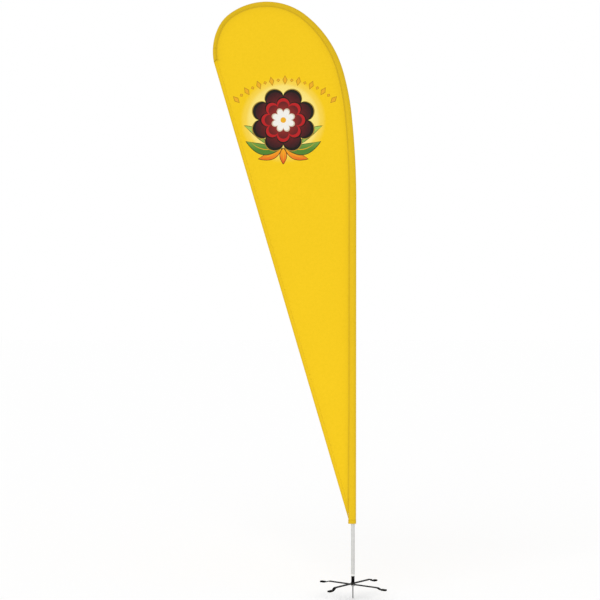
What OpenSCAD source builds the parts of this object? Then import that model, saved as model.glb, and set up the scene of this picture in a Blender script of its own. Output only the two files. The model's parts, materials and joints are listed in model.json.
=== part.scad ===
// Teardrop flag on a bent pole with a turning spindle, a folding cross base and a ground spike.
// Millimetres, +Z up. Origin on the spindle axis, at the plane of the feet's undersides.
// The flag lies in the XZ plane, with its free edge towards -X.

/* [Pole] */
// Outside diameter of the aluminium pole sections
pole_d = 23; // [22:0.5:24]
// Wall of the aluminium pole sections
pole_wall = 2; // [1.6:0.1:2.2]
// Diameter of the hollow upper rod
upper_rod_d = 16; // [14:0.5:17]
// Diameter of the solid tip rod
tip_rod_d = 9; // [7:0.5:9.5]
// Height at which the pole begins to bend
straight_top = 2335; // [2300:5:2400]
// Height of the joint between the two aluminium sections
section_joint = 1150; // [1000:10:1400]

/* [Flag] */
// Thickness of the cloth panel
panel_t = 1; // [0.6:0.1:1.4]
// Width of the hem along the free edge
hem_w = 18; // [10:1:30]
// Wall of the pole sleeve's cloth
cloth_t = 1.2; // [0.8:0.1:1.6]
// Height of the sleeve's open mouth
mouth_z = 377; // [350:1:400]
// Height at which the free edge runs into the sleeve
edge_z = 407; // [400:1:440]

/* [Base] */
// Length of each leg from the spindle axis to the bar's end
leg_r = 240; // [220:5:280]
// Width of the flat bars
bar_w = 20; // [18:1:22]
// Thickness of the flat bars
bar_t = 5; // [4:0.5:5]
// Direction of the lower bar, in degrees from +X
lower_bar_turn = -38; // [-50:1:-30]
// Angle between the two bars
cross_angle = 90; // [60:1:120]

/* [Spindle] */
// Diameter of the fixed hub
hub_d = 20; // [19:0.5:22]
// Height of the hub's top face
hub_top = 63; // [55:1:70]
// Height of the turning collar that the pole stands on
collar_h = 11.7; // [8:0.1:14]
// Height of the top of the turning shaft
shaft_top = 210; // [180:5:260]
// Diameter of the threaded stud under the hub
stud_d = 12; // [11:0.5:12]

/* [Ground spike] */
// Diameter of the ground spike
spike_d = 7; // [6.5:0.5:8]
// Reach of the spike below the feet
spike_reach = 73; // [60:1:120]

/* [Hidden] */
$fn = 48;

// Radii and turns of the arcs that the bent pole follows, from the straight run to the tip
bend_r = [4800, 1500, 640, 365, 210, 315];
bend_a = [6, 10, 35, 74.5, 27.5, 36.5];

// Gaps
run = 0.05;          // radial clearance of a running fit
gap = 0.3;           // clearance between pieces that move

// Heights of the base stack
foot_lo = 2;                         // underside of the bars' feet, on the caps' floors
low_z = 10;                          // underside of the lower bar's arms
pivot_t = 0.8;
high_z = low_z + bar_t + pivot_t + gap;
spring_z = high_z + bar_t + gap;
spring_h = 1.4;
hub_z = spring_z + spring_h;
nut_h = 6;
washer_t = 1;
stud_z = 1.5;
flange_h = 3;
step_in = leg_r * 0.73;
step_out = leg_r * 0.86;
cap_wall = 2;
cap_len = 31;

// Spindle
spike_bore = 3.05;
spike_top = hub_z - 3;
journal_r = 4;
bush_r = 8;
bush_lo = 34;
bush_h = 5;
neck_r = 7;
collar_z = hub_top + gap;
collar_top = collar_z + collar_h;
pole_z = collar_top + gap;
pole_r = pole_d / 2;
pole_in = pole_r - pole_wall;

// Pole
spigot_half = 80;
tube_top = straight_top - 80;
reducer_l = 90;
rod_z = tube_top - reducer_l + 8;
rod_bore = tip_rod_d / 2 + 0.4;
rod_joint = 1000;
insert_l = 70;

// The bent line: distance s is measured from the start of the bend, negative on the straight run
function arc_h(i) = i == 0 ? 90 : arc_h(i - 1) + bend_a[i - 1];
function arc_x(i) = i == 0 ? 0 : arc_x(i - 1) + bend_r[i - 1] * (sin(arc_h(i)) - sin(arc_h(i - 1)));
function arc_z(i) = i == 0 ? straight_top : arc_z(i - 1) + bend_r[i - 1] * (cos(arc_h(i - 1)) - cos(arc_h(i)));
function arc_s(i) = i == 0 ? 0 : arc_s(i - 1) + bend_r[i - 1] * bend_a[i - 1] * PI / 180;
arcs = len(bend_r);
bend_len = arc_s(arcs);
starts = [for (i = [0:arcs - 1]) [arc_x(i), arc_z(i), arc_h(i), arc_s(i)]];
function arc_at(s, i = 0) = i >= arcs - 1 || s <= starts[i + 1][3] ? i : arc_at(s, i + 1);
function line_at(s) =
    s <= 0 ? [0, straight_top + s, 90] :
    let (i = arc_at(s), a = starts[i], t = a[2] + (s - a[3]) / bend_r[i] * 180 / PI)
    [a[0] + bend_r[i] * (sin(t) - sin(a[2])), a[1] + bend_r[i] * (cos(a[2]) - cos(t)), t];

// A point beside the line: u towards the outside of the bend, v along Y
function beside(s, u, v) = let (p = line_at(s)) [p[0] + u * sin(p[2]), v, p[1] - u * cos(p[2])];

// Distances along the line shared by everything that follows it
grid = 70;
pitch = bend_len / grid;
pocket_l = 2.5 * pitch;
mouth_s = mouth_z - straight_top;
stops = concat([mouth_s + 140, mouth_s + 740], [for (k = [0:grid - 3]) k * pitch], [for (k = [2.5, 2, 1, 0.5]) bend_len - k * pitch]);
function along(a, b) = concat([a], [for (s = stops) if (s > a + 1 && s < b - 1) s], [b]);

// Half widths of the sleeve, to the outside and to the seam, and its half depth
function half_out(s) = lookup(s, [[mouth_s, 19], [0, 20.6], [bend_len, 10.5]]);
function half_in(s) = lookup(s, [[mouth_s, 28], [mouth_s + 140, 26], [mouth_s + 740, 21.5], [0, 20.2], [bend_len, 10.5]]);
function half_deep(s) = lookup(s, [[0, pole_r + 2.2], [rod_joint + 200, upper_rod_d / 2 + 3.2], [bend_len, tip_rod_d / 2 + 3]]);

// One ring of the sleeve, grown by g, at s, leaning by lean at the tip
ring_n = 20;
function sleeve_ring(s, g, lean = 0) =
    [for (k = [0:ring_n - 1]) let (a = 360 * k / ring_n, c = cos(a),
        u = c * ((c > 0 ? half_out(s) : half_in(s)) + g), v = sin(a) * (half_deep(s) + g))
        beside(s + lean * u, u, v)];
function round_ring(s, r, n = 16) = [for (k = [0:n - 1]) beside(s, r * cos(360 * k / n), r * sin(360 * k / n))];

// Rings joined in order; closed joins the last to the first, otherwise both ends are capped
module skin(rings, closed = false) {
    n = len(rings[0]);
    m = len(rings);
    polyhedron(
        points = [for (r = rings) each r],
        faces = concat(
            closed ? [] : [[for (j = [0:n - 1]) j], [for (j = [n - 1:-1:0]) (m - 1) * n + j]],
            [for (i = [0:m - (closed ? 1 : 2)]) for (j = [0:n - 1])
                let (i2 = (i + 1) % m, j2 = (j + 1) % n)
                [i * n + j, i2 * n + j, i2 * n + j2, i * n + j2]]),
        convexity = 10);
}
function flipped(list) = [for (k = [len(list) - 1:-1:0]) list[k]];

module tube(z0, z1, ro, ri) {
    translate([0, 0, z0]) difference() {
        cylinder(h = z1 - z0, r = ro);
        translate([0, 0, -1]) cylinder(h = z1 - z0 + 2, r = ri);
    }
}

// ---- cross base ----

// Height and slope of a bar's middle plane at distance r, with its arms' underside at z
function drop(r) = max(0, min(1, (r - step_in) / (step_out - step_in)));
function mid_z(r, z) = bar_t / 2 + foot_lo + (z - foot_lo) * (1 + cos(180 * drop(r))) / 2;
function slope(r, z) = drop(r) <= 0 || drop(r) >= 1 ? 0 :
    atan(-(z - foot_lo) * sin(180 * drop(r)) / 2 * PI / (step_out - step_in));
function face(r, z, t) = [r - t * sin(slope(r, z)), mid_z(r, z) + t * cos(slope(r, z))];

// A flat bar that steps down in a smooth bend to a foot at each end
module bar(z, turn) {
    bends = 12;
    rs = concat([for (k = [0:bends]) step_in + (step_out - step_in) * k / bends], [leg_r]);
    low = [for (r = rs) face(r, z, -bar_t / 2)];
    top = [for (r = flipped(rs)) face(r, z, bar_t / 2)];
    half = concat(low, top);
    rotate([0, 0, turn]) difference() {
        translate([0, bar_w / 2, 0]) rotate([90, 0, 0]) linear_extrude(bar_w)
            polygon(concat(half, [for (p = flipped(half)) [-p[0], p[1]]]));
        translate([0, 0, z - 1]) cylinder(h = bar_t + 2, r = stud_d / 2 + run);
    }
}

// Rubber caps on both ends of a bar
module caps(turn) {
    c = 4;
    w = bar_w / 2 + cap_wall;
    x0 = leg_r + cap_wall - cap_len;
    x1 = leg_r + cap_wall;
    rotate([0, 0, turn]) for (side = [0, 180]) rotate([0, 0, side]) difference() {
        linear_extrude(foot_lo + bar_t + cap_wall)
            polygon([[x0, -w], [x1 - c, -w], [x1, -w + c], [x1, w - c], [x1 - c, w], [x0, w]]);
        translate([x0 - 1, -bar_w / 2, foot_lo]) cube([leg_r - x0 + 1, bar_w, bar_t]);
    }
}

module lower_cross_bar() { color([0.09, 0.09, 0.09]) bar(low_z, lower_bar_turn); }
module upper_cross_bar() { color([0.09, 0.09, 0.09]) bar(high_z, lower_bar_turn + cross_angle); }
module lower_bar_caps() { color([0.06, 0.06, 0.06]) caps(lower_bar_turn); }
module upper_bar_caps() { color([0.06, 0.06, 0.06]) caps(lower_bar_turn + cross_angle); }

// ---- spindle ----

// Fixed hub: stud, flange and a barrel bored for its bushes
module spindle_hub() {
    r = hub_d / 2;
    color([0.08, 0.08, 0.08]) difference() {
        rotate_extrude() polygon([[0, stud_z], [stud_d / 2 - 0.8, stud_z], [stud_d / 2, stud_z + 0.8], [stud_d / 2, hub_z],
            [r + 2.4, hub_z], [r + 3, hub_z + 0.6], [r + 3, hub_z + flange_h - 0.8], [r + 2.2, hub_z + flange_h],
            [r + 0.8, hub_z + flange_h + 0.2], [r, hub_z + flange_h + 1], [r, hub_top - 0.8], [r - 0.8, hub_top], [0, hub_top]]);
        translate([0, 0, stud_z - 1]) cylinder(h = spike_top - stud_z + 1, r = spike_bore);
        translate([0, 0, bush_lo - 4]) cylinder(h = 4, r = bush_r - 1.6);
        translate([0, 0, bush_lo]) cylinder(h = hub_top - bush_lo + 1, r = bush_r);
    }
}
module spindle_nut() {
    lo = low_z - washer_t - nut_h;
    hi = low_z - washer_t;
    color([0.3, 0.3, 0.3]) difference() {
        intersection() {
            translate([0, 0, lo]) cylinder(h = nut_h, r = 11, $fn = 6);
            rotate_extrude() polygon([[0, lo], [9.6, lo], [11.2, lo + 0.9], [11.2, hi - 0.9], [9.6, hi], [0, hi]]);
        }
        translate([0, 0, lo - 1]) cylinder(h = nut_h + 2, r = stud_d / 2 + run);
    }
}
module nut_washer() { color([0.35, 0.35, 0.35]) tube(low_z - washer_t, low_z, 12, stud_d / 2 + 0.2); }
module pivot_washer() { color([0.85, 0.85, 0.82]) tube(low_z + bar_t, low_z + bar_t + pivot_t, 12, stud_d / 2 + 0.1); }
// Coned spring washer that keeps the fold firm
module disc_spring() {
    ri = stud_d / 2 + 0.2;
    color([0.4, 0.4, 0.4]) rotate_extrude()
        polygon([[ri, hub_z - 0.8], [ri, hub_z], [ri + 0.8, hub_z], [10.5, spring_z + 0.8], [10.5, spring_z], [9.7, spring_z]]);
}
module hub_bush_lower() { color([0.72, 0.55, 0.3]) tube(bush_lo, bush_lo + bush_h, bush_r, journal_r + run); }
module hub_bush_spacer() { color([0.6, 0.6, 0.6]) tube(bush_lo + bush_h, hub_top - 1 - bush_h, bush_r, journal_r + 1.5); }
module hub_bush_upper() { color([0.72, 0.55, 0.3]) tube(hub_top - 1 - bush_h, hub_top - 1, bush_r, journal_r + run); }

// Spike screwed up into the stud
module ground_spike() {
    tip = 7;
    color([0.75, 0.75, 0.76]) union() {
        translate([0, 0, stud_z]) cylinder(h = spike_top - stud_z - 1.5, r = spike_bore - run);
        translate([0, 0, tip - spike_reach]) cylinder(h = stud_z + spike_reach - tip, r = spike_d / 2);
        translate([0, 0, -spike_reach]) cylinder(h = tip, r1 = 0.6, r2 = spike_d / 2);
    }
}

// ---- turning shaft ----

module rotor_shaft() {
    r = pole_in - run;
    lo = bush_lo - 2.8;
    color([0.62, 0.63, 0.64]) rotate_extrude()
        polygon([[0, lo], [journal_r - 0.4, lo], [journal_r, lo + 0.4], [journal_r, lo + 0.6],
                 [journal_r - 0.6, lo + 0.6], [journal_r - 0.6, lo + 1.7], [journal_r, lo + 1.7],
                 [journal_r, collar_z], [neck_r, collar_z], [neck_r, collar_top], [r, collar_top],
                 [r, shaft_top - 4], [r - 3, shaft_top], [0, shaft_top]]);
}
module bearing_collar() {
    color([0.9, 0.9, 0.88]) rotate_extrude() polygon([[neck_r, collar_z], [pole_r - 0.7, collar_z], [pole_r, collar_z + 0.7],
        [pole_r, collar_top - 0.7], [pole_r - 0.7, collar_top], [neck_r, collar_top]]);
}
module journal_clip() {
    lo = bush_lo - 2.1;
    color([0.35, 0.35, 0.35]) tube(lo, lo + 0.9, journal_r + 1.4, journal_r - 0.55);
}

// ---- pole ----

stud_hole_z = mouth_z + 32;
module pole_base_tube() {
    color([0.82, 0.82, 0.81]) difference() {
        rotate_extrude() polygon([[0, pole_z], [pole_r - 0.4, pole_z], [pole_r, pole_z + 0.4],
            [pole_r, section_joint - 0.4], [pole_r - 0.4, section_joint], [0, section_joint]]);
        translate([0, 0, pole_z - 1]) cylinder(h = section_joint - pole_z + 2, r = pole_in);
        translate([0, 0, stud_hole_z]) rotate([0, -90, 0]) cylinder(h = pole_d, r = 2.05);
    }
}
module section_spigot() {
    color([0.7, 0.7, 0.7]) tube(section_joint - spigot_half, section_joint + spigot_half, pole_in - run, pole_in - 2);
}
module pole_middle_tube() { color([0.82, 0.82, 0.81]) tube(section_joint + 0.2, tube_top, pole_r, pole_in); }
// Bush that seats the upper rod in the middle tube
module rod_reducer() {
    r = upper_rod_d / 2 + 0.1;
    color([0.1, 0.1, 0.1]) difference() {
        union() {
            translate([0, 0, tube_top - reducer_l]) cylinder(h = reducer_l, r = pole_in - run);
            translate([0, 0, tube_top]) cylinder(h = 4, r = pole_r - 0.5);
        }
        translate([0, 0, rod_z - 0.2]) cylinder(h = reducer_l, r = r);
    }
}
module pole_upper_rod() {
    ss = along(rod_z - straight_top, rod_joint);
    color([0.16, 0.16, 0.17]) skin(concat(
        [for (s = ss) round_ring(s, upper_rod_d / 2)],
        flipped([for (s = ss) round_ring(s, rod_bore + 0.2)])), true);
}
// Metal sleeve over the end of the upper rod
module rod_ferrule() {
    ss = along(rod_joint - 50, rod_joint);
    lip = upper_rod_d / 2 + 1.3;
    color([0.75, 0.75, 0.76]) skin(concat(
        [for (s = ss) round_ring(s, lip)],
        flipped([for (s = ss) round_ring(s, upper_rod_d / 2 + 0.3)])), true);
}
module pole_tip_rod() {
    ss = along(rod_joint - insert_l, bend_len - 22);
    color([0.16, 0.16, 0.17]) skin([for (s = ss) round_ring(s, tip_rod_d / 2)]);
}
// Rounded end cap on the tip rod
module tip_cap() {
    r = tip_rod_d / 2 + 0.1;
    lo = bend_len - 22;
    hi = bend_len - 10;
    color([0.1, 0.1, 0.1]) skin([
        round_ring(lo, r + 0.6), round_ring(hi - 3, r + 0.6), round_ring(hi - 1, r * 0.75), round_ring(hi, r * 0.35)]);
}

// ---- flag ----

// Ends of the free edge: beside the sleeve's leaning tip, and where it meets the seam low down
tip_lean = 0.8;
tip_s = bend_len + 3;
edge_hi = beside(tip_s + tip_lean * half_out(tip_s), half_out(tip_s), 0);
edge_lo = beside(edge_z - straight_top, -half_in(edge_z - straight_top), 0);
seam_end = beside(tip_s - tip_lean * half_in(tip_s), -half_in(tip_s), 0);
module panel_shape() {
    ss = along(edge_z - straight_top, bend_len - 0.5 * pitch);
    pts = [for (s = ss) beside(s, -half_in(s), 0)];
    polygon(concat([for (p = pts) [p[0], p[2]]], [[seam_end[0], seam_end[2]], [edge_hi[0], edge_hi[2]]]));
}
// Band that runs along the free edge, hem_w wide
module hem_band(w, out = 40) {
    dx = edge_lo[0] - edge_hi[0];
    dz = edge_lo[2] - edge_hi[2];
    l = sqrt(dx * dx + dz * dz);
    t = [dx / l, dz / l];
    n = [-t[1], t[0]];
    a = [edge_hi[0], edge_hi[2]];
    polygon([a - 60 * t - out * n, a + (l + 60) * t - out * n, a + (l + 60) * t + w * n, a - 60 * t + w * n]);
}
module flag_panel() {
    color([0.97, 0.8, 0.13]) translate([0, panel_t / 2, 0]) rotate([90, 0, 0]) linear_extrude(panel_t)
        difference() { panel_shape(); hem_band(hem_w); }
}
module free_edge_hem() {
    t = panel_t + 0.8;
    color([0.95, 0.78, 0.13]) translate([0, t / 2, 0]) rotate([90, 0, 0]) linear_extrude(t)
        intersection() { panel_shape(); hem_band(hem_w); }
}
binding_h = 20;
module pole_sleeve() {
    ss = along(mouth_s + binding_h, bend_len - pocket_l);
    color([0.92, 0.76, 0.15]) skin(concat(
        [for (s = ss) sleeve_ring(s, 0)],
        flipped([for (s = ss) sleeve_ring(s, -cloth_t)])), true);
}
// Folded band round the sleeve's mouth
module mouth_binding() {
    ss = [mouth_s, mouth_s + binding_h];
    color([0.9, 0.74, 0.14]) skin(concat(
        [for (s = ss) sleeve_ring(s, 0)],
        flipped([for (s = ss) sleeve_ring(s, -cloth_t - 0.4)])), true);
}
// Closed end of the sleeve that the pole's tip pushes into
module tip_pocket() {
    a = bend_len - pocket_l;
    color([0.9, 0.74, 0.14]) skin(concat(
        flipped([for (s = along(a, bend_len - 7)) sleeve_ring(s, -cloth_t)]),
        [for (s = along(a, bend_len - 0.5 * pitch)) sleeve_ring(s, 0)],
        [sleeve_ring(tip_s, 0, tip_lean)]));
}

// ---- tensioner inside the mouth ----

module hook_stud() {
    color([0.7, 0.7, 0.7]) translate([0, 0, stud_hole_z]) rotate([0, -90, 0]) union() {
        translate([0, 0, pole_in - 1.5]) cylinder(h = pole_r - pole_in + 6, r = 2);
        translate([0, 0, pole_in - 2.7]) cylinder(h = 1.2, r = 3);
        translate([0, 0, pole_r + 4.5]) cylinder(h = 1.5, r = 3.5);
    }
}
module tension_eyelet() {
    color([0.12, 0.12, 0.12]) translate([0, 0, stud_hole_z]) rotate([0, -90, 0]) translate([0, 0, pole_r + 1]) difference() {
        union() {
            cylinder(h = 2.5, r = 6);
            translate([0, -6, 0]) cube([12, 12, 2.5]);
        }
        translate([0, 0, -1]) cylinder(h = 5, r = 2.3);
        translate([6, -4.5, -1]) cube([2.5, 9, 5]);
    }
}
// Flat elastic from the eyelet up to the seam
module tension_elastic() {
    z = stud_hole_z;
    x = -pole_r - 1;
    color([0.15, 0.15, 0.15]) translate([0, 4, 0]) rotate([90, 0, 0]) linear_extrude(8)
        polygon([[x, z + 13], [x - 2, z + 13], [x - 9, z + 40], [x - 9, z + 80], [x - 7.5, z + 80], [x - 7.5, z + 40]]);
}

lower_cross_bar();
lower_bar_caps();
upper_cross_bar();
upper_bar_caps();
spindle_hub();
spindle_nut();
nut_washer();
pivot_washer();
disc_spring();
hub_bush_lower();
hub_bush_spacer();
hub_bush_upper();
ground_spike();
rotor_shaft();
bearing_collar();
journal_clip();
pole_base_tube();
section_spigot();
pole_middle_tube();
rod_reducer();
pole_upper_rod();
rod_ferrule();
pole_tip_rod();
tip_cap();
flag_panel();
free_edge_hem();
pole_sleeve();
mouth_binding();
tip_pocket();
hook_stud();
tension_eyelet();
tension_elastic();
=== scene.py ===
import bmesh
import bpy
import json
import math
import numpy as np
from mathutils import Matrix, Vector
from mathutils.geometry import delaunay_2d_cdt

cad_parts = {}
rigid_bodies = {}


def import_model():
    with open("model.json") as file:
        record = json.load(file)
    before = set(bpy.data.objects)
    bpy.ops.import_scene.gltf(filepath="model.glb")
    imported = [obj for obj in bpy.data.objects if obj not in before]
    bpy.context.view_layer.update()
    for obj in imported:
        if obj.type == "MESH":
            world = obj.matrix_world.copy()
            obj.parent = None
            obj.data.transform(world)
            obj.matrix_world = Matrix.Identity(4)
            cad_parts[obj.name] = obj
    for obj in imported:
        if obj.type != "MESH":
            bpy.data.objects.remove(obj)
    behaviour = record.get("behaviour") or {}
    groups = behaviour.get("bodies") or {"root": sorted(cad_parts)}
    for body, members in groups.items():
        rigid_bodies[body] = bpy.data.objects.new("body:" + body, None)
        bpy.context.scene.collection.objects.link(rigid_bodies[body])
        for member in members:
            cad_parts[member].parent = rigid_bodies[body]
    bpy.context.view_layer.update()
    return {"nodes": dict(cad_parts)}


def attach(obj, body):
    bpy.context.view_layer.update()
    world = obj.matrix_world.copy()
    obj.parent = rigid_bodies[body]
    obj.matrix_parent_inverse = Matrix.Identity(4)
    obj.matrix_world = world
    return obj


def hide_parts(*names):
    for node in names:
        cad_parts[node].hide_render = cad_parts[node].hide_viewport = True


for leftover in list(bpy.data.objects):
    bpy.data.objects.remove(leftover, do_unlink=True)
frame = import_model()
nodes = frame["nodes"]
scene = bpy.context.scene
rng = np.random.default_rng(7)

# ------------------------------------------------------------------ the bent line, as in part.scad, in millimetres
BEND_R = [4800, 1500, 640, 365, 210, 315]
BEND_A = [6, 10, 35, 74.5, 27.5, 36.5]
TOP = 2335.0
MOUTH = 377.0
EDGE_Z = 407.0
starts = []
_x, _z, _h, _s = 0.0, TOP, 90.0, 0.0
for _r, _a in zip(BEND_R, BEND_A):
    starts.append((_x, _z, _h, _s))
    _t = math.radians(_h + _a)
    _p = math.radians(_h)
    _x, _z = _x + _r * (math.sin(_t) - math.sin(_p)), _z + _r * (math.cos(_p) - math.cos(_t))
    _h += _a
    _s += _r * math.radians(_a)
BEND = _s
MOUTH_S = MOUTH - TOP


def line_at(s):
    """x, z and heading in radians of the bent line, for an array of distances."""
    s = np.asarray(s, float)
    x, z, h = np.zeros_like(s), TOP + s, np.full_like(s, math.pi / 2)
    for i, (x0, z0, h0, s0) in enumerate(starts):
        t = np.radians(h0) + (s - s0) / BEND_R[i]
        on = s > s0
        x = np.where(on, x0 + BEND_R[i] * (np.sin(t) - math.sin(math.radians(h0))), x)
        z = np.where(on, z0 + BEND_R[i] * (math.cos(math.radians(h0)) - np.cos(t)), z)
        h = np.where(on, t, h)
    return x, z, h


def beside(s, u):
    x, z, h = line_at(s)
    return x + u * np.sin(h), z - u * np.cos(h)


def half_out(s):
    return np.interp(s, [MOUTH_S, 0, BEND], [19, 20.6, 10.5])


def half_in(s):
    return np.interp(s, [MOUTH_S, MOUTH_S + 140, MOUTH_S + 740, 0, BEND], [28, 26, 21.5, 20.2, 10.5])


TIP_LEAN = 0.8
TIP_S = BEND + 3
# Ends of the free edge and of the seam
_u = float(half_out(TIP_S))
edge_hi = np.array(beside(TIP_S + TIP_LEAN * _u, _u))
_u = float(half_in(TIP_S))
seam_end = np.array(beside(TIP_S - TIP_LEAN * _u, -_u))
edge_lo = np.array(beside(EDGE_Z - TOP, -half_in(EDGE_Z - TOP)))
edge_dir = (edge_lo - edge_hi) / np.linalg.norm(edge_lo - edge_hi)
edge_in = np.array([-edge_dir[1], edge_dir[0]])
EDGE_LEN = float(np.linalg.norm(edge_lo - edge_hi))
HEM = 18.0


# ------------------------------------------------------------------ materials
def srgb(r, g, b):
    f = lambda c: c / 12.92 if c <= 0.04045 else ((c + 0.055) / 1.055) ** 2.4
    return (f(r / 255), f(g / 255), f(b / 255), 1.0)


class Tree:
    """A new node material with short calls for its nodes."""

    def __init__(self, name):
        self.mat = bpy.data.materials.new(name)
        self.mat.use_nodes = True
        self.nt = self.mat.node_tree
        self.nt.nodes.clear()
        self.out = self.nt.nodes.new("ShaderNodeOutputMaterial")
        self.bsdf = self.nt.nodes.new("ShaderNodeBsdfPrincipled")
        self.nt.links.new(self.bsdf.outputs["BSDF"], self.out.inputs["Surface"])
        self.coord = self.nt.nodes.new("ShaderNodeTexCoord").outputs["Object"]

    def put(self, socket, value):
        if isinstance(value, bpy.types.NodeSocket):
            self.nt.links.new(value, socket)
        elif value is not None:
            socket.default_value = value

    def node(self, kind, out=0, props=None, **inputs):
        n = self.nt.nodes.new(kind)
        for k, v in (props or {}).items():
            setattr(n, k, v)
        for k, v in inputs.items():
            self.put(n.inputs[k.replace("_", " ")], v)
        return n.outputs[out]

    def math(self, op, a, b=None, c=None, clamp=False):
        n = self.nt.nodes.new("ShaderNodeMath")
        n.operation = op
        n.use_clamp = clamp
        for i, v in enumerate((a, b, c)):
            if v is not None:
                self.put(n.inputs[i], v)
        return n.outputs[0]

    def mix(self, fac, a, b, blend="MIX"):
        n = self.nt.nodes.new("ShaderNodeMix")
        n.data_type = "RGBA"
        n.blend_type = blend
        self.put(n.inputs[0], fac)
        self.put(n.inputs[6], a)
        self.put(n.inputs[7], b)
        return n.outputs[2]

    def ramp(self, fac, stops, kind="LINEAR"):
        n = self.nt.nodes.new("ShaderNodeValToRGB")
        n.color_ramp.interpolation = kind
        e = n.color_ramp.elements
        while len(e) < len(stops):
            e.new(0.5)
        for el, (p, c) in zip(e, stops):
            el.position = p
            el.color = c if hasattr(c, "__len__") else (c, c, c, 1)
        self.put(n.inputs[0], fac)
        return n.outputs[0]

    def remap(self, v, a, b, c, d):
        n = self.nt.nodes.new("ShaderNodeMapRange")
        n.clamp = True
        for i, x in enumerate((v, a, b, c, d)):
            self.put(n.inputs[i], x)
        return n.outputs[0]

    def noise(self, scale, detail=3.0, rough=0.5, vector=None):
        return self.node("ShaderNodeTexNoise", 0, Vector=vector or self.coord, Scale=scale, Detail=detail, Roughness=rough)

    def bump(self, height, distance, strength=1.0, normal=None):
        n = self.nt.nodes.new("ShaderNodeBump")
        self.put(n.inputs["Height"], height)
        n.inputs["Distance"].default_value = distance
        n.inputs["Strength"].default_value = strength
        if normal is not None:
            self.put(n.inputs["Normal"], normal)
        return n.outputs[0]

    def stretched(self, x, y, z):
        return self.node("ShaderNodeMapping", 0, Vector=self.coord, Scale=(x, y, z))

    def separate(self):
        n = self.nt.nodes.new("ShaderNodeSeparateXYZ")
        self.put(n.inputs[0], self.coord)
        return n.outputs

    def set(self, **values):
        for k, v in values.items():
            self.put(self.bsdf.inputs[k.replace("_", " ")], v)
        return self.mat


def weave(t, pitch=0.0011):
    """Height of a warp-knitted polyester: fine ribs up the cloth with short floats across them."""
    xyz = t.separate()
    k = 2 * math.pi / pitch
    ribs = t.math("SINE", t.math("MULTIPLY", xyz[0], k))
    floats = t.math("SINE", t.math("MULTIPLY", xyz[2], k * 0.8))
    both = t.math("MULTIPLY", ribs, floats)
    mixed = t.math("MULTIPLY_ADD", ribs, 0.35, t.math("MULTIPLY", both, 0.5))
    return t.math("MULTIPLY_ADD", mixed, 0.5, 0.5)


def cloth(name, colour, dark=0.9, extra=None, sheen=0.06, rough=0.78):
    t = Tree(name)
    w = weave(t)
    broad = t.noise(2.3, 3.0)
    fine = t.noise(60.0, 4.0, 0.6)
    shade = tuple(c * dark for c in colour[:3]) + (1,)
    base = t.mix(t.remap(broad, 0.35, 0.65, 0.0, 1.0), colour, tuple(c * 0.985 for c in colour[:3]) + (1,))
    base = t.mix(t.remap(fine, 0.4, 0.7, 0.0, 0.35), base, shade)
    if extra:
        base = extra(t, base)
    # painted shade: the colour is multiplied by the per-vertex 'shade' attribute, darker in folds, beside seams and
    # along edges
    wear_and_painted_shade = t.nt.nodes.new("ShaderNodeAttribute")
    wear_and_painted_shade.attribute_name = "shade"
    base = t.mix(1.0, base, wear_and_painted_shade.outputs["Color"], "MULTIPLY")
    # painted shade in the weave's hollows: the colour is multiplied darker where the weave's height is low
    base = t.mix(t.remap(w, 0.05, 0.65, 1.0, 0.0), base, (0.86, 0.86, 0.86, 1), "MULTIPLY")
    r = t.remap(fine, 0.3, 0.7, rough - 0.05, rough + 0.06)
    n = t.bump(w, 0.00018, 0.6)
    return t.set(Base_Color=base, Roughness=r, Normal=n, Sheen_Weight=sheen, Sheen_Roughness=0.45, Specular_IOR_Level=0.25)


YELLOW = srgb(250, 206, 12)
# the sleeve's yellow is darker than the panel's: partly a doubled cloth, partly painted shade for the sleeve's sloping
# sides
SLEEVE = srgb(236, 195, 16)


def px(x, y):
    """Place on the cloth, in millimetres, from the print's layout grid."""
    return ((x - 352.9) * 6.0, (586.43 - y) * 6.0)


DISC = px(283.3, 120.1)
DISC_R = 195.0


def from_disc(t):
    xyz = t.separate()
    dx = t.math("SUBTRACT", xyz[0], DISC[0] / 1000)
    dz = t.math("SUBTRACT", xyz[2], DISC[1] / 1000)
    return t.math("SQRT", t.math("ADD", t.math("MULTIPLY", dx, dx), t.math("MULTIPLY", dz, dz)))


def halo(t, base):
    """Pale glow printed round the rosette."""
    d = from_disc(t)
    glow = t.ramp(t.remap(d, 0.165, 0.262, 0.0, 1.0), [(0.0, 0.8), (0.35, 0.62), (0.65, 0.2), (1.0, 0.0)], "EASE")
    return t.mix(glow, base, srgb(255, 240, 150))


def maroon(t, base):
    """The rosette's middle is a lighter red and darkens to its rim."""
    d = from_disc(t)
    return t.ramp(t.remap(d, 0.04, 0.19, 0.0, 1.0), [(0.0, srgb(158, 44, 36)), (0.45, srgb(104, 28, 28)), (0.8, srgb(64, 24, 26)), (1.0, srgb(44, 20, 22))])


def shaded(a, b, lo, hi, axis=2):
    def f(t, base):
        return t.ramp(t.remap(t.separate()[axis], lo, hi, 0.0, 1.0), [(0.0, a), (1.0, b)])

    return f


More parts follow.
